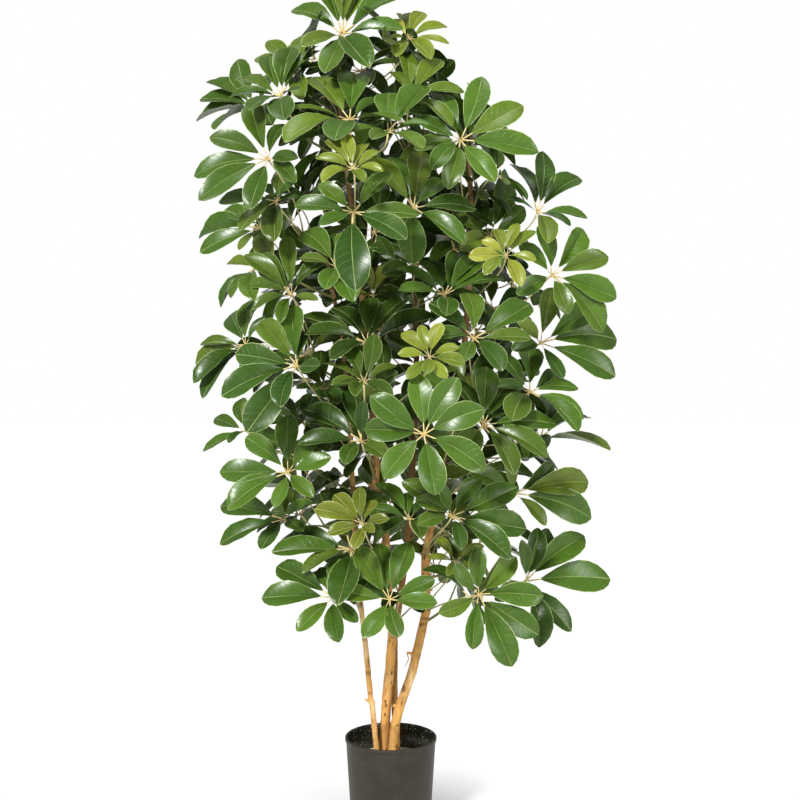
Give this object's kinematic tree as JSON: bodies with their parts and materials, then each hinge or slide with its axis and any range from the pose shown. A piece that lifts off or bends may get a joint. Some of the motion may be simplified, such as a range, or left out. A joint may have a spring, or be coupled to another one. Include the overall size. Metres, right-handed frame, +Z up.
{
  "type": "potted umbrella plant",
  "caption": "Tall umbrella plant with glossy palmate leaves on bare woody trunks, standing in a plain dark round pot.",
  "frame": {"origin": "middle of the pot's foot, on the floor", "axes": "+Z up along the pot's axis, -Y towards the front of the plant, +X to its right seen from the front"},
  "size_m": [0.7557, 0.6204, 1.5052],
  "materials": {
    "pot_plastic": "matte, glossier inside",
    "plaster": "rough",
    "bark": "satin, peeling in places",
    "leaf": "glossy green",
    "young_leaf": "glossy yellow-green"
  },
  "bodies": {
    "root": {"planting_bed": "plaster", "pot": "pot_plastic", "spray_back_1": "leaf", "spray_back_10": "leaf", "spray_back_11": "leaf", "spray_back_12": "leaf", "spray_back_13": "leaf", "spray_back_14": "leaf", "spray_back_15": "leaf", "spray_back_16": "leaf", "spray_back_2": "leaf", "spray_back_3": "leaf", "spray_back_4": "leaf", "spray_back_5": "leaf", "spray_back_6": "leaf", "spray_back_7": "leaf", "spray_back_8": "leaf", "spray_back_9": "leaf", "spray_left_1": "leaf", "spray_left_2": "leaf", "spray_left_3": "leaf", "spray_left_4": "leaf", "spray_left_5": "leaf", "spray_left_6": "leaf", "spray_left_7": "leaf", "spray_low_middle": "leaf", "spray_low_right": "leaf", "spray_middle_1": "leaf", "spray_middle_2": "leaf", "spray_middle_3": "leaf", "spray_middle_4": "leaf", "spray_middle_5": "leaf", "spray_middle_6": "leaf", "spray_right_1": "leaf", "spray_right_2": "leaf", "spray_right_3": "leaf", "spray_right_4": "leaf", "spray_right_5": "leaf", "spray_upper_1": "leaf", "spray_upper_2": "leaf", "spray_upper_left_1": "leaf", "spray_upper_left_2": "leaf", "spray_upper_right": "leaf", "top_leaf": "leaf", "trunk_a": "bark", "trunk_b": "bark", "trunk_c": "bark", "trunk_d": "bark", "young_leaf_1": "young_leaf", "young_leaf_2": "young_leaf", "young_leaf_3": "young_leaf", "young_leaf_4": "young_leaf", "young_leaf_5": "young_leaf", "young_leaf_6": "young_leaf", "young_leaf_7": "young_leaf"}
  },
  "joints": []
}
